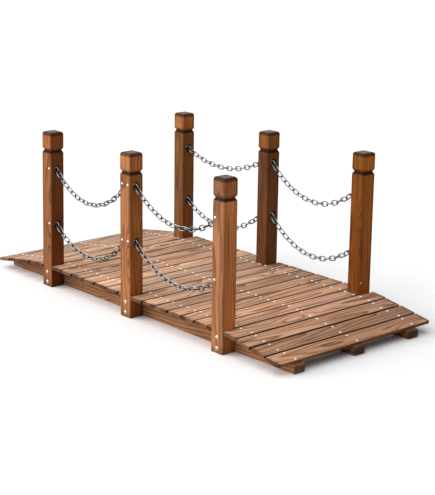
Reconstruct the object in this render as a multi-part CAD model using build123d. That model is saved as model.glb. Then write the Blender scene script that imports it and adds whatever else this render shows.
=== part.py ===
from build123d import *
import math
import os

# Garden bridge of fir, 5 ft long: three arched stringers stand on the ground, planks are
# screwed across them, and six posts bolted to the outer stringers carry four runs of
# chain on each side. Millimetres. X runs along the bridge, Y across it, Z up. The origin
# is at ground level, at the middle of the length and at the middle of the planks.

# Stringers: the three boards on edge that carry the deck
stringer_length = 1524.0
stringer_thickness = 45.0
stringer_height = 67.0  # at the level middle
stringer_end_height = 27.5
stringer_shift = 4.0  # along X from the origin
level_share = 0.57  # of the length, where the top edge runs level
ramp_bend_radius = 1020.0
stringer_end_round = 7.0  # corners of the ends, seen from the side
stringer_edge_ease = 4.0  # long edges

# Deck planks
plank_count = 23
plank_gap = 6.5  # between one plank and the next, along the curve of the deck
plank_length = 678.0
plank_thickness = 11.0
plank_edge_round = 2.0
deck_shift = -5.9  # along X from the origin
notch_clearance = 2.0  # between a plank and the post that it is cut round
seat_gap = 0.2  # between a plank and the stringers
plank_slides = (0.0, 1.5, -1.0, 2.0, -2.0, 0.5, -1.5, 1.0)  # each plank lies a little off line

# Posts
post_side = 54.0
post_height = 561.5
post_pitch = 461.0
post_shift = 9.0  # along X from the origin
rail_gap = 612.0  # between the centre lines of the two rows of posts
post_offset = {  # how far each post stands from its mark, along X
    ("near", "left"): -2.0,
    ("near", "middle"): -4.0,
    ("near", "right"): 2.0,
    ("far", "left"): -7.0,
    ("far", "middle"): 2.0,
    ("far", "right"): 0.0,
}
post_lean = {("near", "left"): 1.1}  # degrees towards +X, for a post that isn't upright
post_edge_round = 2.5
head_height = 56.0  # from the groove to the top of the post
head_crown_height = 10.0
head_crown_inset = 8.5
groove_height = 18.6
groove_depth = 5.2
groove_lip_round = 3.0

# Chain: welded oval links, each turned a quarter against the last
wire_diameter = 4.0
link_inside_length = 24.65
link_inside_width = 11.8
link_clearance = 0.25
twist_span = {"near": (0.3, 0.9), "far": (0.7, 1.0)}  # part of a run that takes up its twist

# Where the chains are let into the posts
chain_hole_width = 26.0
chain_hole_height = 34.0
chain_hole_depth = 20.0
chain_hole_drop = 6.0  # centre of the hole below the screw that holds the chain
chain_screw_inset = 12.0  # from the side face of the post to the screw
chain_screw_diameter = 4.0
chain_screw_length = 36.0
chain_screw_clearance = 0.2
chain_screw_head_diameter = 8.4
chain_screw_head_height = 2.6
upper_chain_height = {"left": 434.0, "middle": 456.0, "right": 434.0}
lower_chain_height = {"left": 235.0, "middle": 265.0, "right": 235.0}

# Sizes that follow
link_pitch = link_inside_length - link_clearance
link_bow_radius = (link_inside_width + wire_diameter) / 2
link_side_length = link_inside_length - link_inside_width
near_row_y = -plank_length / 2 + post_side / 2
far_row_y = near_row_y + rail_gap
row_y = {"near": near_row_y, "far": far_row_y}
outward = {"near": -1, "far": 1}
places = {"left": -1, "middle": 0, "right": 1}
stringer_y = {
    "near": near_row_y + (post_side + stringer_thickness) / 2,
    "mid": 0.0,
    "far": far_row_y - (post_side + stringer_thickness) / 2,
}

# The top edge of a stringer is level, then bends down and runs straight to the end. The
# angle of that ramp follows from how far the end lies below the middle.
level_half_length = level_share * stringer_length / 2
ramp_run = stringer_length / 2 - level_half_length
ramp_drop = stringer_height - stringer_end_height
ramp_reach = math.hypot(ramp_run, ramp_bend_radius - ramp_drop)
bend_angle = math.atan2(ramp_run, ramp_bend_radius - ramp_drop)
bend_angle -= math.acos(ramp_bend_radius / ramp_reach)
bend_length = ramp_bend_radius * bend_angle
bend_run = ramp_bend_radius * math.sin(bend_angle)
bend_drop = ramp_bend_radius * (1 - math.cos(bend_angle))
ramp_length = (ramp_run - bend_run) / math.cos(bend_angle)
plank_pitch = 2 * (level_half_length + bend_length + ramp_length) / plank_count
plank_width = plank_pitch - plank_gap


def deck_line(travel):
    """Point on the top edge of a stringer at this distance along it from the middle, as
    x, z and the slope in radians there."""
    side = math.copysign(1, travel)
    beyond = abs(travel) - level_half_length
    if beyond <= 0:
        return travel, stringer_height, 0.0
    if beyond <= bend_length:
        turn = beyond / ramp_bend_radius
        x = level_half_length + ramp_bend_radius * math.sin(turn)
        z = stringer_height - ramp_bend_radius * (1 - math.cos(turn))
        return side * x, z, -side * turn
    straight = beyond - bend_length
    x = level_half_length + bend_run + straight * math.cos(bend_angle)
    z = stringer_height - bend_drop - straight * math.sin(bend_angle)
    return side * x, z, -side * bend_angle


def post_location(row, place):
    """Where the foot of a post is, and how it leans."""
    lean = post_lean.get((row, place), 0.0)
    x = post_shift + places[place] * post_pitch + post_offset[row, place]
    lift = post_side / 2 * math.sin(math.radians(lean))
    return Pos(x, row_y[row], lift) * Rot(0, lean, 0)


def on_post(row, place, x, height):
    """Point on the centre line of a row at this x and height on one of its posts."""
    return (post_location(row, place) * Pos(x, 0, height)).position


# Stringer: an arched outline, sawn from a board, with its edges eased
def make_stringer(y):
    half = stringer_length / 2
    crown = Line((-level_half_length, stringer_height), (level_half_length, stringer_height))
    bend = RadiusArc(
        crown @ 1,
        (level_half_length + bend_run, stringer_height - bend_drop),
        ramp_bend_radius,
    )
    ramp = Line(bend @ 1, (half, stringer_end_height))
    end = Line(ramp @ 1, (half, 0))
    foot = Line(end @ 1, (0, 0))
    right_side = [bend, ramp, end, foot]
    left_side = [mirror(edge, about=Plane.YZ) for edge in right_side]
    outline = make_face(Curve() + [crown] + right_side + left_side)
    corners = [v for v in outline.vertices() if abs(abs(v.X) - half) < 0.01]
    outline = fillet(corners, stringer_end_round)
    board = extrude(Plane.XZ * outline, stringer_thickness / 2, both=True)
    top_edges = [
        edge
        for edge in board.edges()
        if abs(abs(edge.center().Y) - stringer_thickness / 2) < 0.01
        and edge.center().Z > stringer_end_round
    ]
    board = chamfer(top_edges, stringer_edge_ease / 2)
    return Pos(stringer_shift, y, 0) * board


# Plank: a board with its top edges rounded, cut round any post that it meets
def make_plank(index):
    travel = (index - (plank_count - 1) / 2) * plank_pitch + deck_shift - stringer_shift
    x, z, slope = deck_line(travel)
    section = Pos(0, plank_thickness / 2) * Rectangle(plank_width, plank_thickness)
    top_corners = section.vertices().group_by(Axis.Y)[-1]
    section = fillet(top_corners, plank_edge_round)
    board = extrude(Plane.XZ * section, plank_length / 2, both=True)
    slide = plank_slides[index % len(plank_slides)]
    lie = Pos(stringer_shift + x, slide, z) * Rot(0, -math.degrees(slope), 0)
    board = lie * Pos(0, 0, seat_gap) * board
    for row in ("near", "far"):
        for place in places:
            board -= make_notch(row, place)
    return board


# Notch: open to the end of the plank, so that the plank slips round the post
def make_notch(row, place):
    width = post_side + 2 * notch_clearance
    centre_x = on_post(row, place, 0, stringer_height).X
    inner = row_y[row] - outward[row] * width / 2
    outer = outward[row] * plank_length
    notch = Box(width, abs(outer - inner), 4 * stringer_height)
    return Pos(centre_x, (inner + outer) / 2, stringer_height) * notch


# Post outline: the shape seen from each of the four sides
def post_outline():
    half = post_side / 2
    groove_top = post_height - head_height
    groove_bottom = groove_top - groove_height
    groove_middle = (groove_top + groove_bottom) / 2
    crown_start = post_height - head_crown_height
    shaft = Line((half, 0), (half, groove_bottom))
    groove_in = Line(shaft @ 1, (half - groove_depth, groove_middle))
    groove_out = Line(groove_in @ 1, (half, groove_top))
    head = Line(groove_out @ 1, (half, crown_start))
    crown = EllipticalCenterArc(
        (half - head_crown_inset, crown_start),
        head_crown_inset,
        head_crown_height,
        arc_size=90,
    )
    top = Line(crown @ 1, (0, post_height))
    right_side = [shaft, groove_in, groove_out, head, crown, top]
    left_side = [mirror(edge, about=Plane.YZ) for edge in right_side]
    foot = Line((-half, 0), (half, 0))
    outline = make_face(Curve() + right_side + left_side + [foot])
    lips = [
        v
        for v in outline.vertices()
        if abs(abs(v.X) - half) < 0.01
        and min(abs(v.Y - groove_top), abs(v.Y - groove_bottom)) < 0.01
    ]
    return fillet(lips, groove_lip_round)


def make_post(row, place):
    cut_along_y = extrude(Plane.XZ * post_outline(), post_side, both=True)
    cut_along_x = Rot(0, 0, 90) * cut_along_y
    post = cut_along_y & cut_along_x
    upright_edges = post.edges().filter_by(Axis.Z)
    post = fillet(upright_edges, post_edge_round)
    for chain_side in chain_sides(place):
        for height in chain_heights(place):
            post -= make_chain_hole(chain_side, height)
            post -= make_screw_hole(row, chain_side, height)
    return post_location(row, place) * post


def chain_sides(place):
    """Side faces of a post that carry a chain: 1 towards +X, -1 towards -X."""
    return {"left": (1,), "middle": (-1, 1), "right": (-1,)}[place]


def chain_height(level, place):
    return {"upper": upper_chain_height, "lower": lower_chain_height}[level][place]


def chain_heights(place):
    return chain_height("upper", place), chain_height("lower", place)


# Blind hole with round ends in a side face of the post, for the end link
def make_chain_hole(side, height):
    outline = Plane.YZ * SlotOverall(chain_hole_height, chain_hole_width, rotation=90)
    hole = extrude(outline, chain_hole_depth / 2, both=True)
    return Pos(side * (post_side - chain_hole_depth) / 2, 0, height - chain_hole_drop) * hole


# Hole from the outer face, for the screw that passes through the end link
def make_screw_hole(row, side, height):
    radius = chain_screw_diameter / 2 + chain_screw_clearance
    depth = chain_screw_length + 1
    hole = Rot(90, 0, 0) * Cylinder(radius, depth)
    x = side * (post_side / 2 - chain_screw_inset)
    return Pos(x, outward[row] * (post_side - depth) / 2, height) * hole


# Screw with a low round head, driven through the end link
def make_chain_screw(row, place, side, height):
    shank_radius = chain_screw_diameter / 2
    head_radius = chain_screw_head_diameter / 2
    head_top = chain_screw_head_height
    dome_radius = (head_radius**2 + head_top**2) / (2 * head_top)
    dome = RadiusArc((head_radius, 0), (0, head_top), -dome_radius)
    shank_outline = Polyline(
        dome @ 1,
        (0, -chain_screw_length),
        (shank_radius, -chain_screw_length),
        (shank_radius, 0),
        dome @ 0,
    )
    half_section = make_face(Curve() + [dome, shank_outline])
    screw = revolve(Plane.XZ * half_section, Axis.Z)
    hole = on_post(row, place, side * (post_side / 2 - chain_screw_inset), height)
    y = hole.Y + outward[row] * post_side / 2
    return Pos(hole.X, y, hole.Z) * Rot(-90 * outward[row], 0, 0) * screw


# Link: round wire bent to an oval and welded, lying along X in the XZ plane
def make_link():
    half_side = link_side_length / 2
    upper = Line((-half_side, link_bow_radius), (half_side, link_bow_radius))
    right = RadiusArc(upper @ 1, (half_side, -link_bow_radius), link_bow_radius)
    lower = Line(right @ 1, (-half_side, -link_bow_radius))
    left = RadiusArc(lower @ 1, upper @ 0, link_bow_radius)
    path = Plane.XZ * (Curve() + [upper, right, lower, left])
    section = Plane(path @ 0, z_dir=(1, 0, 0)) * Circle(wire_diameter / 2)
    return sweep(section, path=Wire(path.edges()))


def catenary(span, rise, length):
    """Curve of a hanging chain of this length between two screws, as a function from
    distance along the chain to x and z, both from the first screw."""
    stretch = math.sqrt(length**2 - rise**2)
    low, high = span / 50, span * 50
    for _ in range(200):
        middle = (low + high) / 2
        if 2 * middle * math.sinh(span / (2 * middle)) > stretch:
            low = middle
        else:
            high = middle
    scale = (low + high) / 2
    lowest_x = span / 2 - scale * math.asinh(rise / stretch)
    before_lowest = scale * math.sinh(lowest_x / scale)
    top_z = scale * math.cosh(lowest_x / scale)

    def point(travel):
        x = scale * math.asinh((travel - before_lowest) / scale)
        return lowest_x + x, scale * math.cosh(x / scale) - top_z

    return point


def twist_share(row, part):
    """How much of its twist a chain has taken up at this part of its length."""
    start, end = twist_span[row]
    t = min(max((part - start) / (end - start), 0), 1)
    return t * t * (3 - 2 * t)


# Chain: links along a catenary, with the first and last held by the screws in the posts.
# A run with an even number of links takes up a quarter turn, so that both ends fit.
def make_chain(row, level, left_place, right_place, link_count):
    reach_to_screw = post_side / 2 - chain_screw_inset
    start = on_post(row, left_place, reach_to_screw, chain_height(level, left_place))
    end = on_post(row, right_place, -reach_to_screw, chain_height(level, right_place))
    end_allowance = chain_screw_diameter / 2 + link_clearance / 2
    length = link_count * link_pitch - 2 * end_allowance
    hang = catenary(end.X - start.X, end.Z - start.Z, length)
    travels = [0.0]
    travels += [k * link_pitch - end_allowance for k in range(1, link_count)]
    travels += [length]
    joints = [hang(travel) for travel in travels]
    twist = 90 * ((link_count - 1) % 2)
    link = make_link()
    links = []
    for k in range(link_count):
        (x0, z0), (x1, z1) = joints[k], joints[k + 1]
        slope = math.atan2(z1 - z0, x1 - x0)
        half_x = link_pitch / 2 * math.cos(slope)
        half_z = link_pitch / 2 * math.sin(slope)
        if k == link_count - 1:
            centre_x, centre_z = x0 + half_x, z0 + half_z
        else:
            centre_x, centre_z = x1 - half_x, z1 - half_z
        roll = 90 * k + twist * twist_share(row, k / (link_count - 1))
        place = Pos(start.X + centre_x, start.Y, start.Z + centre_z)
        links.append(place * Rot(0, -math.degrees(slope), 0) * Rot(roll, 0, 0) * link)
    return links


# Links in each chain, counted where the photograph shows them
chain_links = {
    ("near", "upper", "left"): 20,
    ("near", "upper", "right"): 20,
    ("near", "lower", "left"): 20,
    ("near", "lower", "right"): 20,
    ("far", "upper", "left"): 19,
    ("far", "upper", "right"): 20,
    ("far", "lower", "left"): 20,
    ("far", "lower", "right"): 20,
}

os.makedirs("parts", exist_ok=True)

for name, y in stringer_y.items():
    export_step(make_stringer(y), f"parts/stringer_{name}.step")

for index in range(plank_count):
    export_step(make_plank(index), f"parts/plank_{index + 1:02d}.step")

for row in row_y:
    for place in places:
        export_step(make_post(row, place), f"parts/post_{row}_{place}.step")
    screws = [
        make_chain_screw(row, place, side, height)
        for place in places
        for side in chain_sides(place)
        for height in chain_heights(place)
    ]
    export_step(Compound(screws), f"parts/chain_screws_{row}.step")

for (row, level, bay), link_count in chain_links.items():
    if bay == "left":
        links = make_chain(row, level, "left", "middle", link_count)
    else:
        links = make_chain(row, level, "middle", "right", link_count)
    export_step(Compound(links), f"parts/chain_{row}_{level}_{bay}.step")
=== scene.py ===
import math
import random

import bmesh
import bpy
from mathutils import Matrix, Vector


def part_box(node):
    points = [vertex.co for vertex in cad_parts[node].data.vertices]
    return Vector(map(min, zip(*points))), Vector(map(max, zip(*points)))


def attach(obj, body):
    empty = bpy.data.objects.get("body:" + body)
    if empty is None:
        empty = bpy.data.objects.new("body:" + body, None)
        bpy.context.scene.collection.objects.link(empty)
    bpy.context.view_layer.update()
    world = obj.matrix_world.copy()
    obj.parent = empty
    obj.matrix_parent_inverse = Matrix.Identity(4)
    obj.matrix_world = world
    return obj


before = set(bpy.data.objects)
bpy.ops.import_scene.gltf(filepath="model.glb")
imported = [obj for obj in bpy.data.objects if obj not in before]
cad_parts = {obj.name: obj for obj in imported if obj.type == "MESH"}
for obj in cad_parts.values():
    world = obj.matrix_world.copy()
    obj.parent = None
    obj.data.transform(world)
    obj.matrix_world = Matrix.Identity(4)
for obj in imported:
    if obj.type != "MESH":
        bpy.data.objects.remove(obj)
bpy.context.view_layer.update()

# Stringers: three boards sawn from fir and stood on edge, level in the middle and falling to
# the ground at both ends. They were charred a little, brushed and oil-stained brown, and
# carry the planks and the posts.

mm = 0.001


def linear(hex_colour):
    """sRGB hex to the linear colour that a shader socket takes."""
    channels = [int(hex_colour[i : i + 2], 16) / 255 for i in (0, 2, 4)]
    bent = [c / 12.92 if c <= 0.04045 else ((c + 0.055) / 1.055) ** 2.4 for c in channels]
    return (*bent, 1.0)


def add(tree, kind, inputs, **settings):
    """One node with its settings, and each input as a number or a link from another node."""
    made = tree.nodes.new("ShaderNode" + kind)
    for name, value in settings.items():
        setattr(made, name, value)
    for name, value in inputs.items():
        if isinstance(value, bpy.types.NodeSocket):
            tree.links.new(value, made.inputs[name])
        else:
            made.inputs[name].default_value = value
    return made


def new_material(name):
    material = bpy.data.materials.new(name)
    material.use_nodes = True
    return material, material.node_tree, material.node_tree.nodes["Principled BSDF"]


# Length along the board and width across it, in mm, of each kind of mark in the wood. Real
# fibres are less than a tenth of a millimetre wide, and are drawn as coarse as they need to
# be to show at the size of the photograph. Knots and clouds of stain have their real size.
fibre_size = (142.86, 3.0303)
streak_size = (285.71, 13.3333)
cloud_size = (200.0, 71.429)
knot_spacing = (416.67, 90.909)
ring_wander_size = (454.55, 90.909)
ring_wander = 30 * mm


def drawn_out(tree, place, size):
    """A place where one unit is as long and as wide as a mark of this size."""
    length, width = size
    per_metre = (1 / (length * mm), 1 / (width * mm), 1 / (width * mm))
    return add(tree, "VectorMath", {0: place, 1: per_metre}, operation="MULTIPLY").outputs[0]


def summer_wood(tree, board, own_place, chance, ring_mm):
    """How much dark summer wood shows, from 0 to 1, and how dark the knots are.

    Growth rings are circles round the heart of the log, which lies outside the board and
    not quite parallel to it, so that the saw lays them open as long arches. Knots are small
    dark ovals that the rings swing round. Real rings are 3 to 5 mm apart, and these are
    wider, so that they show. own_place is the board, moved to a stretch of the patterns
    that no other board has."""
    heart = (
        chance.uniform(-300, 300) * mm,
        chance.choice((-1, 1)) * chance.uniform(4, 30) * mm,
        -chance.uniform(35, 75) * mm,
    )
    tilt = (0, chance.uniform(-0.05, 0.05), chance.uniform(-0.06, 0.06))
    log = add(tree, "Mapping", {"Vector": board, "Location": heart, "Rotation": tilt})
    log = add(tree, "VectorMath", {0: log.outputs[0], 1: (0, 1, 1)}, operation="MULTIPLY")
    slow = drawn_out(tree, own_place, ring_wander_size)
    wander = add(tree, "TexNoise", {"Vector": slow, "Scale": 1.0, "Detail": 2.0})
    wander = add(
        tree, "VectorMath", {0: wander.outputs["Color"], 1: (0.5, 0.5, 0.5)}, operation="SUBTRACT"
    ).outputs[0]
    sideways = (0.0, ring_wander, ring_wander)
    wander = add(tree, "VectorMath", {0: wander, 1: sideways}, operation="MULTIPLY").outputs[0]
    log = add(tree, "VectorMath", {0: log.outputs[0], 1: wander}, operation="ADD").outputs[0]
    radius = add(tree, "VectorMath", {0: log}, operation="LENGTH").outputs["Value"]

    knot_place = drawn_out(tree, own_place, knot_spacing)
    knot = add(tree, "TexVoronoi", {"Vector": knot_place, "Scale": 1.0}).outputs["Distance"]
    swing = add(
        tree,
        "MapRange",
        {"Value": knot, "From Min": 0.05, "From Max": 0.3, "To Min": 1.0, "To Max": 0.0},
        interpolation_type="SMOOTHSTEP",
    ).outputs[0]
    knot_dark = add(
        tree,
        "MapRange",
        {"Value": knot, "From Min": 0.05, "From Max": 0.085, "To Min": 0.9, "To Max": 0.0},
    ).outputs[0]

    # Across each ring the wood darkens slowly, and ends at a sharp line
    rings_per_metre = 1 / (ring_mm * mm)
    rings_pushed_by_knot = 1.6
    rings = add(tree, "Math", {0: radius, 1: rings_per_metre}, operation="MULTIPLY").outputs[0]
    rings = add(
        tree, "Math", {0: swing, 1: rings_pushed_by_knot, 2: rings}, operation="MULTIPLY_ADD"
    ).outputs[0]
    across_ring = add(tree, "Math", {0: rings}, operation="FRACT").outputs[0]
    late = add(tree, "ValToRGB", {"Fac": across_ring})
    ramp = late.color_ramp
    for share, grey in ((0.45, 0.12), (0.8, 0.75), (0.92, 1.0)):
        ramp.elements.new(share).color = (grey, grey, grey, 1)
    ramp.elements[0].color = (0, 0, 0, 1)
    ramp.elements[-1].color = (0, 0, 0, 1)
    return late.outputs["Color"], knot_dark


def facing(tree, part, start, full):
    """1 on faces whose normal runs along this axis, either way, and 0 on the others."""
    size = add(tree, "Math", {0: part}, operation="ABSOLUTE").outputs[0]
    return add(tree, "MapRange", {"Value": size, "From Min": start, "From Max": full}).outputs[0]


def rubbed_and_highlit_edges(tree, normal, wide):
    """How much paler rounded edges are, where a normal lies between two axes: worn stain and
    painted highlight.
    """
    edge = add(tree, "Math", {0: wide, 1: 0.5}, operation="MULTIPLY").outputs[0]
    for one, other in ("XY", "YZ", "ZX"):
        both = add(tree, "Math", {0: normal[one], 1: normal[other]}, operation="MULTIPLY")
        both = add(tree, "Math", {0: both.outputs[0]}, operation="ABSOLUTE").outputs[0]
        edge = add(tree, "Math", {0: edge, 1: both}, operation="ADD").outputs[0]
    return add(
        tree,
        "MapRange",
        {"Value": edge, "From Min": 0.55, "From Max": 0.76, "To Min": 0.0, "To Max": 0.65},
    ).outputs[0]


def singed_tips(tree, place_along, wide, cloud, tip):
    """How black the flame has left the board, in patches within about 15 mm of its tips."""
    ragged = 24 * mm
    start = tip - 2 * mm
    full = tip + 12 * mm
    reach = add(tree, "Math", {0: place_along}, operation="ABSOLUTE").outputs[0]
    reach = add(
        tree, "Math", {0: wide, 1: ragged, 2: reach}, operation="MULTIPLY_ADD"
    ).outputs[0]
    near_tip = add(
        tree, "MapRange", {"Value": reach, "From Min": start, "From Max": full}
    ).outputs[0]
    patches = add(
        tree,
        "MapRange",
        {"Value": cloud, "From Min": 0.38, "From Max": 0.6, "To Min": 0.1, "To Max": 0.85},
    ).outputs[0]
    return add(tree, "Math", {0: near_tip, 1: patches}, operation="MULTIPLY").outputs[0]


def stained_fir(
    name, along, centre, face, side, ends, tip, seed, ring_mm, grain, fade, painted_falloff, roughness
):
    """Sawn fir, charred, brushed and oil-stained, whose grain runs along one axis.

    To the eye it is almost matt, with dark lines along the board that stand a little proud,
    darker cut ends and paler edges, partly worn and partly a painted highlight. centre is the
    middle of the board, face and side are the colours of its two kinds of face, ends that of
    the cut ends, and tip is how far from the middle they are. ring_mm is the width between
    dark lines, grain how strongly they show, fade how much the stain varies, and
    painted_falloff how much darker the board is painted from its middle to its end on the
    plus side of the axis, a painted fall-off of the light."""
    narrow_faces = {"X": "Z", "Y": "X", "Z": "X"}
    other_axes = {"X": "YZ", "Y": "XZ", "Z": "XY"}
    material, tree, shader = new_material(name)
    chance = random.Random(seed)
    across, through = other_axes[along]
    place = add(tree, "TexCoord", {}).outputs["Object"]
    place = add(tree, "VectorMath", {0: place, 1: centre}, operation="SUBTRACT").outputs[0]
    parts = add(tree, "SeparateXYZ", {0: place}).outputs
    board = add(
        tree, "CombineXYZ", {0: parts[along], 1: parts[across], 2: parts[through]}
    ).outputs[0]
    drift = [chance.uniform(-9, 9) for _ in range(3)]
    own_place = add(tree, "VectorMath", {0: board, 1: drift}, operation="ADD").outputs[0]
    late, knot_dark = summer_wood(tree, board, own_place, chance, ring_mm)

    # Fibres, streaks of stain and clouds of stain, drawn out along the board
    marks = []
    for size, detail in ((fibre_size, 3.0), (streak_size, 3.0), (cloud_size, 2.0)):
        mark_place = drawn_out(tree, own_place, size)
        noise = add(tree, "TexNoise", {"Vector": mark_place, "Scale": 1.0, "Detail": detail})
        marks.append(noise.outputs["Fac"])
    fine, wide, cloud = marks
    streak = add(
        tree,
        "MapRange",
        {"Value": wide, "From Min": 0.56, "From Max": 0.74, "To Min": 0.0, "To Max": 0.75},
        interpolation_type="SMOOTHSTEP",
    ).outputs[0]

    # Colour of each kind of face, with the summer wood darker and redder
    normal = add(tree, "NewGeometry", {}).outputs["Normal"]
    normal = add(tree, "SeparateXYZ", {0: normal}).outputs
    to_side = facing(tree, normal[narrow_faces[along]], 0.45, 0.75)
    to_end = facing(tree, normal[along], 0.5, 0.8)
    colour = add(
        tree, "Mix", {"Factor": to_side, 6: linear(face), 7: linear(side)}, data_type="RGBA"
    ).outputs[2]
    left_in_summer_wood = (0.36, 0.27, 0.21, 1)
    darker = add(
        tree,
        "Mix",
        {"Factor": 1.0, 6: colour, 7: left_in_summer_wood},
        data_type="RGBA",
        blend_type="MULTIPLY",
    ).outputs[2]
    ring_depth = add(tree, "Math", {0: late, 1: grain}, operation="MULTIPLY").outputs[0]
    colour = add(
        tree, "Mix", {"Factor": ring_depth, 6: colour, 7: darker}, data_type="RGBA"
    ).outputs[2]

    # How much light the stain lets back from fibre to fibre, times a painted fall-off of light
    # from end to end
    least_light = 0.2
    light_of_fibres = 0.9
    light_of_streaks = 0.7
    light = add(
        tree, "Math", {0: fine, 1: light_of_fibres, 2: least_light}, operation="MULTIPLY_ADD"
    ).outputs[0]
    light = add(
        tree, "Math", {0: wide, 1: light_of_streaks, 2: light}, operation="MULTIPLY_ADD"
    ).outputs[0]
    clouded = add(
        tree, "Math", {0: cloud, 1: fade, 2: 1 - fade / 2}, operation="MULTIPLY_ADD"
    ).outputs[0]
    light = add(tree, "Math", {0: light, 1: clouded}, operation="MULTIPLY").outputs[0]
    # Painted light and shade: the board is darker towards one end and lighter towards the other
    painted_falloff_scale = add(
        tree, "Math", {0: parts[along], 1: -painted_falloff / tip, 2: 1.0}, operation="MULTIPLY_ADD"
    ).outputs[0]
    light = add(tree, "Math", {0: light, 1: painted_falloff_scale}, operation="MULTIPLY").outputs[0]
    colour = add(tree, "VectorMath", {0: colour, "Scale": light}, operation="SCALE").outputs[0]

    # Dark streaks, knots, edges paled by wear and a painted highlight, cut ends and singed tips,
    # each over the one before
    # Paler edges: the stain is worn thin there, and a painted highlight lies on the rounded
    # arrises
    rubbed_and_highlight_gain = (1.45, 1.5, 1.5, 1)
    rubbed_and_highlit = [channel * gain for channel, gain in zip(linear(face), rubbed_and_highlight_gain)]
    singed = singed_tips(tree, parts[along], wide, cloud, tip)
    coats = (
        (streak, linear("3a2417")),
        (knot_dark, linear("26150d")),
        (rubbed_and_highlit_edges(tree, normal, wide), rubbed_and_highlit),
        (to_end, linear(ends)),
        (singed, linear("2c1a10")),
    )
    for cover, coat in coats:
        colour = add(
            tree, "Mix", {"Factor": cover, 6: colour, 7: coat}, data_type="RGBA"
        ).outputs[2]
    tree.links.new(colour, shader.inputs["Base Color"])

    # Brushing takes the soft wood away and leaves a low sheen and fine ridges
    smoothest = roughness - 0.12
    rougher_fibres = 0.25
    ridge_height = 0.5 * mm
    gloss = add(
        tree, "Math", {0: fine, 1: rougher_fibres, 2: smoothest}, operation="MULTIPLY_ADD"
    ).outputs[0]
    tree.links.new(gloss, shader.inputs["Roughness"])
    shader.inputs["Specular IOR Level"].default_value = 0.12
    relief = add(
        tree, "Math", {0: fine, 1: 0.8, 2: ring_depth}, operation="MULTIPLY_ADD"
    ).outputs[0]
    relief = add(tree, "Bump", {"Strength": 0.35, "Distance": ridge_height, "Height": relief})
    tree.links.new(relief.outputs[0], shader.inputs["Normal"])
    return material


def dress(node_name, material):
    """Gives a solid of the frame its material."""
    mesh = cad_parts[node_name].data
    mesh.materials.clear()
    mesh.materials.append(material)


stringer_looks = {
    "near": ("ab7a56", 31),
    "mid": ("8a5a3c", 32),
    "far": ("8f5f40", 33),
}
for name, (face, seed) in stringer_looks.items():
    low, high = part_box(f"stringer_{name}")
    fir = stained_fir(
        f"fir_stringer_{name}",
        "X",
        (low + high) / 2,
        face=face,
        side="8f6040",
        ends="7a553c",
        tip=(high.x - low.x) / 2,
        seed=seed,
        ring_mm=10,
        grain=1.0,
        fade=0.7,
        # painted shade towards the minus X end and painted light towards the other end
        painted_falloff=-0.18,
        roughness=0.65,
    )
    dress(f"stringer_{name}", fir)

# Planks: thin fir boards, charred, brushed and stained, then screwed down across the
# stringers. No two took the stain alike: some are tan, some pinkish, some grey-brown.

plank_tones = [
    "b4947a", "c69c7c", "c09c82", "d5aa8c", "d8ac8d", "dfb08e", "cea17f", "cca185",
    "dca986", "eec19f", "cda88b", "d0a68a", "cda385", "deaf8f", "bc9478", "d4a586",
    "cc9e7f", "dfac88", "cf9f82", "d7a687", "cb9b7b", "ae8467", "be8f6e",
]
# Plank sides in the gaps are painted dark, painted shade between the planks; the last plank's
# side is open and lighter
painted_shade_gap_side = "45291a"
open_side = "8a5c3a"
first_plank_seed = 101
for number, tone in enumerate(plank_tones, start=1):
    low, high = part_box(f"plank_{number:02d}")
    last = number == len(plank_tones)
    fir = stained_fir(
        f"fir_plank_{number:02d}",
        "Y",
        (low + high) / 2,
        face=tone,
        side=open_side if last else painted_shade_gap_side,
        ends="84593d",
        tip=(high.y - low.y) / 2,
        seed=first_plank_seed + number - 1,
        ring_mm=8,
        grain=0.95,
        fade=0.65,
        # painted shade towards the far end and painted light towards the near end
        painted_falloff=0.22,
        roughness=0.6,
    )
    dress(f"plank_{number:02d}", fir)

# Posts: square fir posts, planed, with a groove cut round them under the head and a crown
# with sloping sides. The groove and the crown were charred darkest, because their cut
# fibres take more. The flat tops are painted grey, a painted sheen of the light they reflect.

# Colours of the Y faces and of the X faces, seed, and how much paler the head is. The X
# faces differ from the Y faces partly in tone and partly by painted shade and painted light.
post_looks = {
    "near_left": ("9e6033", "7f4719", 51, 1.5),
    "near_middle": ("b77749", "ae6a31", 52, 1.4),
    "near_right": ("be7e54", "de8c4d", 53, 0.65),
    "far_left": ("845225", "89511f", 54, 1.9),
    "far_middle": ("6a3d19", "724413", 55, 1.9),
    "far_right": ("83480e", "a85f12", 56, 1.35),
}
low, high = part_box("post_near_middle")
post_side = high.x - low.x
post_top = high.z
groove_low = post_top - 74.6 * mm
groove_high = post_top - 56 * mm
crown_start = post_top - 10 * mm
foot_height = 35 * mm
arris_shade_from = 12 * mm
char_raggedness = 7 * mm
past_both_ends = 1.0  # so that no tips are singed: the crown has its own char


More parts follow.
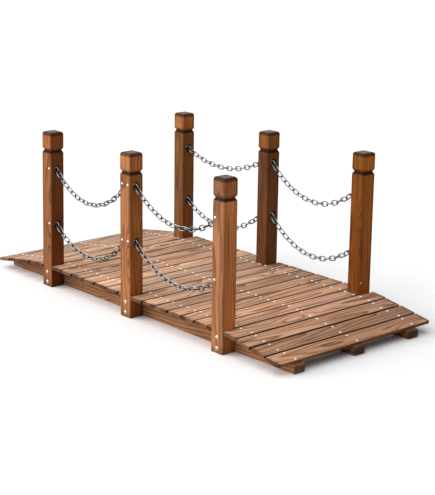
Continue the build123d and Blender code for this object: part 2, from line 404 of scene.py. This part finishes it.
def stain_and_painted_shade_on_post(tree, height, place, middle, head):
    """How pale the post is: its own paleness at the head, and painted shade at the foot and
    towards the arrises.
    """
    above_groove = add(
        tree,
        "MapRange",
        {
            "Value": height,
            "From Min": groove_low + 6 * mm,
            "From Max": groove_high,
            "To Min": 1.0,
            "To Max": head,
        },
    ).outputs[0]
    # Painted shade: darker towards the foot, near the floor
    foot = add(
        tree, "MapRange", {"Value": height, "From Max": foot_height, "To Min": 0.55}
    ).outputs[0]
    around = add(tree, "VectorMath", {0: place, 1: middle}, operation="SUBTRACT").outputs[0]
    around = add(tree, "VectorMath", {0: around}, operation="ABSOLUTE").outputs[0]
    around = add(tree, "SeparateXYZ", {0: around}).outputs
    from_middle = add(
        tree, "Math", {0: around["X"], 1: around["Y"]}, operation="MINIMUM"
    ).outputs[0]
    # Painted shade: each face darker towards the arrises
    painted_arris_shade = add(
        tree,
        "MapRange",
        {
            "Value": from_middle,
            "From Min": arris_shade_from,
            "From Max": post_side / 2,
            "To Min": 1.0,
            "To Max": 0.72,
        },
    ).outputs[0]
    paleness_and_shade = add(tree, "Math", {0: above_groove, 1: foot}, operation="MULTIPLY").outputs[0]
    return add(tree, "Math", {0: paleness_and_shade, 1: painted_arris_shade}, operation="MULTIPLY").outputs[0]


def char_on_post(tree, height, ragged):
    """How black the post is, from 0 to 1: in the groove, round it and over the crown."""
    start = groove_low - 10 * mm
    height = add(
        tree, "Math", {0: ragged, 1: char_raggedness, 2: height}, operation="MULTIPLY_ADD"
    ).outputs[0]
    share = add(
        tree, "MapRange", {"Value": height, "From Min": start, "From Max": post_top}
    ).outputs[0]
    burn = add(tree, "ValToRGB", {"Fac": share})

    # Heights and how black they are, from below the groove up to the crown
    stops = (
        (groove_low + 2 * mm, 0.0),
        (groove_low + 6 * mm, 0.95),
        (groove_low + 13 * mm, 0.95),
        (groove_low + 17 * mm, 0.5),
        (groove_high + 3 * mm, 0.35),
        (groove_high + 6 * mm, 0.0),
        (crown_start - 1 * mm, 0.0),
        (crown_start + 5 * mm, 0.8),
    )
    ramp = burn.color_ramp
    for stop, grey in stops:
        ramp.elements.new((stop - start) / (post_top - start)).color = (grey, grey, grey, 1)
    ramp.elements[0].color = (0, 0, 0, 1)
    ramp.elements[-1].color = (0.8, 0.8, 0.8, 1)
    return burn.outputs["Color"]


def painted_sheen_on_top(tree, ragged):
    """Where the flat top is painted grey in patches, a painted sheen of reflected light."""
    upward = add(tree, "NewGeometry", {}).outputs["Normal"]
    upward = add(tree, "SeparateXYZ", {0: upward}).outputs["Z"]
    flat_top = add(
        tree, "MapRange", {"Value": upward, "From Min": 0.9, "From Max": 0.98}
    ).outputs[0]
    patchy = add(
        tree, "MapRange", {"Value": ragged, "From Min": 0.35, "From Max": 0.6, "To Min": 0.5}
    ).outputs[0]
    return add(tree, "Math", {0: flat_top, 1: patchy}, operation="MULTIPLY").outputs[0]


for name, (face, side, seed, head) in post_looks.items():
    low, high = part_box(f"post_{name}")
    fir = stained_fir(
        f"fir_post_{name}",
        "Z",
        (low + high) / 2,
        face=face,
        side=side,
        ends="6a4c3a",
        tip=past_both_ends,
        seed=seed,
        ring_mm=7,
        grain=0.8,
        fade=0.8,
        painted_falloff=0.0,
        roughness=0.55,
    )
    tree = fir.node_tree
    shader = tree.nodes["Principled BSDF"]
    bare = shader.inputs["Base Color"].links[0].from_socket
    gloss = shader.inputs["Roughness"].links[0].from_socket
    place = add(tree, "TexCoord", {}).outputs["Object"]
    height = add(tree, "SeparateXYZ", {0: place}).outputs["Z"]
    middle = (low.x + high.x) / 2, (low.y + high.y) / 2, 0
    paleness_and_shade = stain_and_painted_shade_on_post(tree, height, place, middle, head)
    bare = add(tree, "VectorMath", {0: bare, "Scale": paleness_and_shade}, operation="SCALE").outputs[0]

    # With no place given, the noise is laid over the post's own box, and 60 marks each way
    # are 0.9 mm wide and 9 mm high
    ragged = add(tree, "TexNoise", {"Scale": 60.0, "Detail": 3.0}).outputs["Fac"]
    burn = char_on_post(tree, height, ragged)
    charred = add(
        tree, "Mix", {"Factor": burn, 6: bare, 7: linear("1c1009")}, data_type="RGBA"
    ).outputs[2]
    # Painted sheen: the flat tops are painted grey in patches
    grey = painted_sheen_on_top(tree, ragged)
    charred = add(
        tree, "Mix", {"Factor": grey, 6: charred, 7: linear("7d736d")}, data_type="RGBA"
    ).outputs[2]
    tree.links.new(charred, shader.inputs["Base Color"])
    matt = add(tree, "Math", {0: burn, 1: 0.35, 2: gloss}, operation="MULTIPLY_ADD").outputs[0]
    tree.links.new(matt, shader.inputs["Roughness"])
    dress(f"post_{name}", fir)

# Chains: welded oval links of steel wire, zinc-plated and gone dull. They hang between the
# posts from screws through their end links.


def dull_steel(name, light, dark, roughness):
    """Steel with a plating that has dulled, and painted light: a painted highlight where it faces
    the sky and painted shade below.

    To the eye the highlights are soft and patchy. The patches of dull plating have their
    real size of about 11 mm. Real scratches are a tenth of a millimetre wide, and are drawn
    ten times wider, so that they break up the highlights at this size."""
    patch_size = 11.11 * mm
    scratch_width = 1.111 * mm
    material, tree, shader = new_material(name)
    place = add(tree, "TexCoord", {}).outputs["Object"]
    patches = add(
        tree, "TexNoise", {"Vector": place, "Scale": 1 / patch_size, "Detail": 3.0}
    ).outputs["Fac"]
    upward = add(tree, "NewGeometry", {}).outputs["Normal"]
    upward = add(tree, "SeparateXYZ", {0: upward}).outputs["Z"]
    upward = add(
        tree, "Math", {0: patches, 1: 0.5, 2: upward}, operation="MULTIPLY_ADD"
    ).outputs[0]
    # Painted highlight on the upper side and painted shade on the lower side
    bright = add(
        tree,
        "MapRange",
        {"Value": upward, "From Min": 0.3, "From Max": 1.1},
        interpolation_type="SMOOTHSTEP",
    ).outputs[0]
    colour = add(
        tree, "Mix", {"Factor": bright, 6: linear(dark), 7: linear(light)}, data_type="RGBA"
    ).outputs[2]
    tree.links.new(colour, shader.inputs["Base Color"])
    rough = add(
        tree,
        "MapRange",
        {"Value": patches, "To Min": roughness - 0.1, "To Max": roughness + 0.15},
    ).outputs[0]
    tree.links.new(rough, shader.inputs["Roughness"])
    scratches = add(
        tree, "TexNoise", {"Vector": place, "Scale": 1 / scratch_width, "Detail": 2.0}
    ).outputs["Fac"]
    relief = add(tree, "Bump", {"Strength": 0.15, "Distance": 0.1 * mm, "Height": scratches})
    tree.links.new(relief.outputs[0], shader.inputs["Normal"])
    shader.inputs["Metallic"].default_value = 1.0
    return material


chain_steel = dull_steel("dull_plated_steel_chain", "a8aaaa", "131416", 0.34)
for row in ("near", "far"):
    for level in ("upper", "lower"):
        for bay in ("left", "right"):
            dress(f"chain_{row}_{level}_{bay}", chain_steel)

# Chain screws: steel with a low round head, driven through the end links from the outer
# faces of the posts. Their bright zinc plate is almost white to the eye, with a broad soft
# shine, and a film of white rust makes it a little less metallic than bare steel.

# Painted highlight: the zinc is a little lighter where it faces up and darker below
bright_zinc = dull_steel("bright_zinc_plate", "e8e8e4", "c4c6c6", 0.42)
bright_zinc.node_tree.nodes["Principled BSDF"].inputs["Metallic"].default_value = 0.9
for row in ("near", "far"):
    dress(f"chain_screws_{row}", bright_zinc)

# Deck screws: zinc-plated pan-head wood screws with a cross recess, driven through each
# plank into each stringer, two to a crossing. The recess is painted matt dark brown, painted
# shade that marks the head with a dark cross.

mottle_size = 0.8 * mm  # mottling in the painted shade, coarse enough to show; coarser than real grime, which would not show
recess_painted_shade, tree, shader = new_material("painted_shade_in_screw_recess")
place = add(tree, "TexCoord", {}).outputs["Object"]
mottle = add(
    tree, "TexNoise", {"Vector": place, "Scale": 1 / mottle_size, "Detail": 2.0}
).outputs["Fac"]
recess_shade_colour = add(
    tree, "Mix", {"Factor": mottle, 6: linear("1a140f"), 7: linear("4a3b2c")}, data_type="RGBA"
).outputs[2]
tree.links.new(recess_shade_colour, shader.inputs["Base Color"])
shader.inputs["Roughness"].default_value = 0.9

screw_radius = 3.9 * mm
screw_proud = 1.2 * mm
shoulder_share = 0.35  # of the head's radius, from its rim to the top of the dome
lip_share = 0.1  # of the head's radius, from the dome to where the recess is laid out
recess_share = 0.46  # of the head's radius, from its middle to the end of a slot
recess_wall = 0.15 * mm
recess_depth = 0.9 * mm
cross_waist = 0.35
screw_spread = 20 * mm
screw_rows = {"near": -266 * mm, "mid": 1 * mm, "far": 266 * mm}  # Y of each row

low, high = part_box("stringer_mid")
stringer_middle = (low.x + high.x) / 2
stringer_top = high.z
middle_plank = 12
low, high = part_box(f"plank_{middle_plank}")
deck_middle = (low.x + high.x) / 2
plank_top = high.z - stringer_top
plank_step = 66.505 * mm

# The stringers' top edge: level for this far each way, then bent down to a straight ramp
level_half = 434.34 * mm
bend_radius = 1020 * mm
bend_angle = math.radians(9.106)


def screw_head(mesh, radius, proud, place, waist=cross_waist):
    """A low domed head with a recess, standing on the origin of place.

    waist is how wide the recess is between its arms: small for a cross, 1 for a round one."""
    made = bmesh.ops.create_circle(mesh, cap_ends=True, radius=radius, segments=16)
    ring = made["verts"]
    top = [face for face in mesh.faces if all(v in ring for v in face.verts)]
    dome = bmesh.ops.inset_region(
        mesh, faces=top, thickness=radius * shoulder_share, depth=0, use_boundary=True
    )
    inner = list(top[0].verts)
    bmesh.ops.translate(mesh, verts=inner, vec=(0, 0, proud))
    bmesh.ops.inset_region(mesh, faces=top, thickness=radius * lip_share, depth=0)
    lip = list(top[0].verts)
    for vertex in lip:
        turn = math.atan2(vertex.co.y, vertex.co.x)
        arm = abs(math.cos(2 * turn)) ** 3  # 1 along the four arms and 0 between them
        reach = radius * recess_share * (waist + (1 - waist) * arm)
        vertex.co.x = reach * math.cos(turn)
        vertex.co.y = reach * math.sin(turn)
    pit = bmesh.ops.inset_region(mesh, faces=top, thickness=recess_wall, depth=0)
    # The recess takes the second material, painted shade
    for face in pit["faces"] + top:
        face.material_index = 1
    floor_verts = list(top[0].verts)
    bmesh.ops.translate(mesh, verts=floor_verts, vec=(0, 0, -recess_depth))
    new = set(ring)
    for result in (dome, pit):
        for face in result["faces"]:
            new.update(face.verts)
    new.update(inner + lip + floor_verts)
    bmesh.ops.transform(mesh, matrix=place, verts=list(new))


def finished_piece(name, mesh):
    """A piece of zinc-plated screws or bolts, fixed to the bridge."""
    bmesh.ops.recalc_face_normals(mesh, faces=mesh.faces)
    data = bpy.data.meshes.new(name)
    mesh.to_mesh(data)
    mesh.free()
    data.materials.append(bright_zinc)
    data.materials.append(recess_painted_shade)
    piece = bpy.data.objects.new(name, data)
    bpy.context.scene.collection.objects.link(piece)
    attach(piece, "root")


def deck_line(travel):
    """x, z and slope on top of the stringers at this distance along them."""
    way = math.copysign(1, travel)
    beyond = abs(travel) - level_half
    if beyond <= 0:
        return travel, stringer_top, 0.0
    turn = min(beyond / bend_radius, bend_angle)
    straight = beyond - turn * bend_radius
    x = level_half + bend_radius * math.sin(turn) + straight * math.cos(turn)
    z = stringer_top - bend_radius * (1 - math.cos(turn)) - straight * math.sin(turn)
    return way * x, z, -way * turn


# No screw is placed quite true: each is up to this many mm off along the deck and across it
off_along = 3
off_across = 5
scatter = random.Random(7)
for row, y in screw_rows.items():
    heads = bmesh.new()
    for number in range(1, len(plank_tones) + 1):
        travel = (number - middle_plank) * plank_step + deck_middle - stringer_middle
        x, z, slope = deck_line(travel)
        lie = Matrix.Translation((stringer_middle + x, y, z)) @ Matrix.Rotation(-slope, 4, "Y")
        for way in (-1, 1):
            along = way * screw_spread + scatter.uniform(-off_along, off_along) * mm
            across = scatter.uniform(-off_across, off_across) * mm
            spin = Matrix.Rotation(scatter.uniform(0, 3.14), 4, "Z")
            place = lie @ Matrix.Translation((along, across, plank_top)) @ spin
            screw_head(heads, screw_radius, screw_proud, place)
    finished_piece(f"deck_screws_{row}", heads)

# Post bolts: zinc-plated, with a round head and a socket, on washers, two through the foot
# of each post into the stringer beside it. One small screw is low on the last post of the
# far row.

bolt_heights = (52 * mm, 16 * mm)
washer_radius = 6.3 * mm
washer_thick = 0.8 * mm
washer_bevel = 0.93  # radius of its upper edge as a share of the lower one
bolt_radius = 5.8 * mm
bolt_proud = 1.7 * mm
socket_waist = 0.9
small_screw_radius = 3 * mm
small_screw_in = 8 * mm
small_screw_height = 117 * mm
row_turns = {"near": 90, "far": -90}  # degrees that turn a head to face out of its row


def washer(mesh, place):
    rim = bmesh.ops.create_circle(mesh, cap_ends=True, radius=washer_radius, segments=24)
    face = [f for f in mesh.faces if all(v in rim["verts"] for v in f.verts)]
    raised = bmesh.ops.extrude_face_region(mesh, geom=face)
    upper = [v for v in raised["geom"] if isinstance(v, bmesh.types.BMVert)]
    bmesh.ops.translate(mesh, verts=upper, vec=(0, 0, washer_thick))
    bmesh.ops.scale(mesh, verts=upper, vec=(washer_bevel, washer_bevel, 1))
    bmesh.ops.transform(mesh, matrix=place, verts=rim["verts"] + upper)


bolts = bmesh.new()
for name in post_looks:
    low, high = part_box(f"post_{name}")
    row = name.split("_")[0]
    outer_y = low.y if row == "near" else high.y
    for height in bolt_heights:
        outer = Matrix.Translation((low.x + post_side / 2, outer_y, height))
        outer = outer @ Matrix.Rotation(math.radians(row_turns[row]), 4, "X")
        washer(bolts, outer)
        on_washer = outer @ Matrix.Translation((0, 0, washer_thick))
        screw_head(bolts, bolt_radius, bolt_proud, on_washer, socket_waist)
low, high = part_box("post_far_right")
end_face = Matrix.Translation((high.x, low.y + small_screw_in, small_screw_height))
end_face = end_face @ Matrix.Rotation(math.pi / 2, 4, "Y")
screw_head(bolts, small_screw_radius, screw_proud, end_face)
finished_piece("post_bolts", bolts)

# Floor: a plain painted studio floor that runs past every edge of the picture. To the eye
# it is white without shine, and it throws back less light than it shows, so that the sides
# of the posts stay as dark as in the photograph.

floor_half = 40.0
floor_mesh = bmesh.new()
bmesh.ops.create_grid(floor_mesh, x_segments=1, y_segments=1, size=floor_half)
floor_data = bpy.data.meshes.new("studio_floor")
floor_mesh.to_mesh(floor_data)
floor_mesh.free()
floor = bpy.data.objects.new("studio_floor", floor_data)
bpy.context.scene.collection.objects.link(floor)


def seen_by_camera(tree):
    """1 where the camera looks, straight, mirrored or through glass, and 0 for the rest."""
    seen = add(tree, "LightPath", {}).outputs
    direct = add(
        tree, "Math", {0: seen["Is Camera Ray"], 1: seen["Is Glossy Ray"]}, operation="MAXIMUM"
    ).outputs[0]
    return add(
        tree, "Math", {0: direct, 1: seen["Is Transmission Ray"]}, operation="MAXIMUM"
    ).outputs[0]


paint, tree, shader = new_material("pale_floor")
tree.nodes.remove(shader)
tint = add(
    tree,
    "Mix",
    {"Factor": seen_by_camera(tree), 6: linear("b0b0b0"), 7: linear("ffffff")},
    data_type="RGBA",
).outputs[2]
matt = add(tree, "BsdfDiffuse", {"Color": tint}).outputs[0]
tree.links.new(matt, tree.nodes["Material Output"].inputs["Surface"])
floor_data.materials.append(paint)

# Light: a white room, a very wide soft lamp overhead in front, and a weaker one low on the
# left that brightens the outer faces of the posts. The room looks white to the camera and
# lights the bridge with a third of that.

room_light = 0.33
room = bpy.data.worlds.new("white_room")
bpy.context.scene.world = room
room.use_nodes = True
tree = room.node_tree
background = tree.nodes["Background"]
strength = add(
    tree, "MapRange", {"Value": seen_by_camera(tree), "To Min": room_light, "To Max": 1.0}
).outputs[0]
background.inputs["Color"].default_value = (1, 1, 1, 1)
tree.links.new(strength, background.inputs["Strength"])

# Where each lamp shines from, its strength, and how wide it looks in degrees
lamps = {
    "wide_overhead_lamp": ((-0.45, -0.75, 1.0), 2.6, 100),
    "low_left_lamp": ((-0.9, -0.7, 0.25), 1.6, 40),
}
for name, (towards, power, spread) in lamps.items():
    lamp = bpy.data.lights.new(name, "SUN")
    lamp.energy = power
    lamp.angle = math.radians(spread)
    lamp_object = bpy.data.objects.new(name, lamp)
    lamp_object.rotation_euler = Vector(towards).to_track_quat("Z", "Y").to_euler()
    bpy.context.scene.collection.objects.link(lamp_object)
bpy.context.scene.view_settings.view_transform = "Standard"

# Camera: low and off to the right of the near side, as in the photograph. Its place in
# metres and its turns in radians were solved from the corners of the posts and the deck.

camera_place = (3.6221, -3.1045, 1.4925)
look_turn = 0.85068
look_down = 0.26781
camera_roll = 0.01403
focal_pixels = 1420.35
image_height = 495
sensor = 36.0
view_distance = 200
camera = bpy.data.cameras.new("camera")
camera.sensor_width = sensor
camera.lens = focal_pixels / image_height * sensor
camera.clip_end = view_distance
camera_object = bpy.data.objects.new("camera", camera)
camera_object.matrix_world = (
    Matrix.Translation(camera_place)
    @ Matrix.Rotation(look_turn, 4, "Z")
    @ Matrix.Rotation(math.pi / 2 - look_down, 4, "X")
    @ Matrix.Rotation(camera_roll, 4, "Z")
)
bpy.context.scene.collection.objects.link(camera_object)
bpy.context.scene.camera = camera_object
